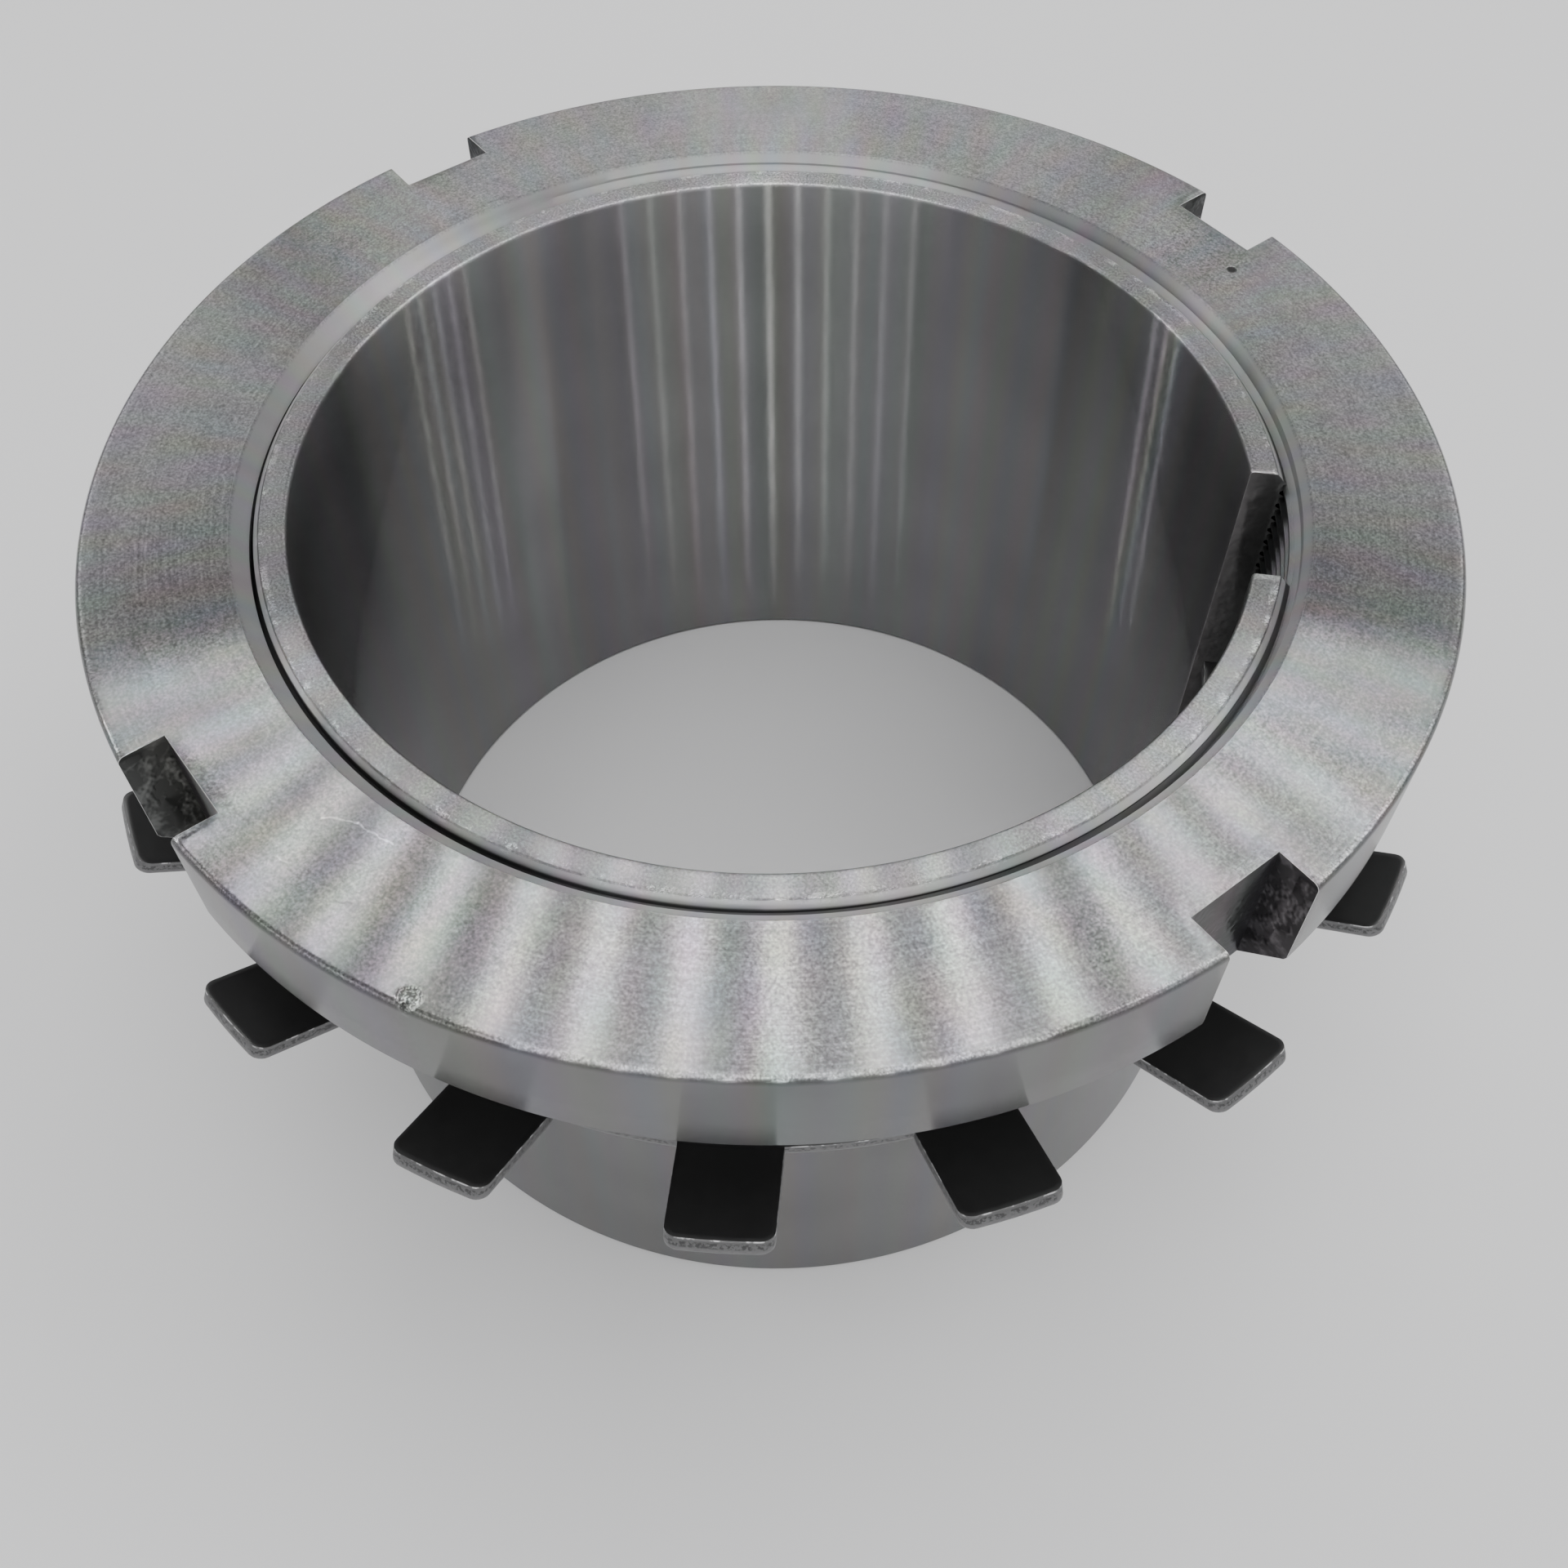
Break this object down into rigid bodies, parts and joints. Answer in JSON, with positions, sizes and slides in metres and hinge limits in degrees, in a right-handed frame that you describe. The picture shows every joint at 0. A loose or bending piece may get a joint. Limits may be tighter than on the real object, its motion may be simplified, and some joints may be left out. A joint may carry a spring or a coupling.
{
  "type": "adapter sleeve with locknut and lock washer",
  "caption": "Slit tapered sleeve with a ring nut and a tanged lock washer, which clamps a tapered-bore bearing on a plain shaft.",
  "frame": {"origin": "on the shaft axis, in the plane of the sleeve's large end, on which the assembly stands", "axes": "+Z along the shaft axis towards the locknut; +X and +Y through the middle of spanner slots with the nut at rest; the sleeve's slit lies at 43.5 degrees from +X towards +Y"},
  "size_m": [0.1642, 0.1645, 0.089],
  "materials": {
    "turned_steel": "fine turned",
    "blackened_sheet": "satin black with bare sheared edges",
    "faced_steel": "fine faced and turned"
  },
  "bodies": {
    "sleeve_body": {"sleeve": "turned_steel"},
    "washer_body": {"lock_washer": "blackened_sheet"},
    "nut_body": {"locknut": "faced_steel"}
  },
  "joints": [
    {"name": "washer_slide", "type": "slide", "parent": "sleeve_body", "child": "washer_body", "axis": [0, 0, 1], "range_m": [0, 0.016]},
    {"name": "nut_turn", "type": "hinge", "parent": "washer_body", "child": "nut_body", "pos_m": [0, 0, 0.078], "axis": [0, 0, 1], "range_deg": [0, 2880]}
  ],
  "couplings": [
    {"joint": "washer_slide", "follows": "nut_turn", "m_per_rad": 0.0003183}
  ]
}
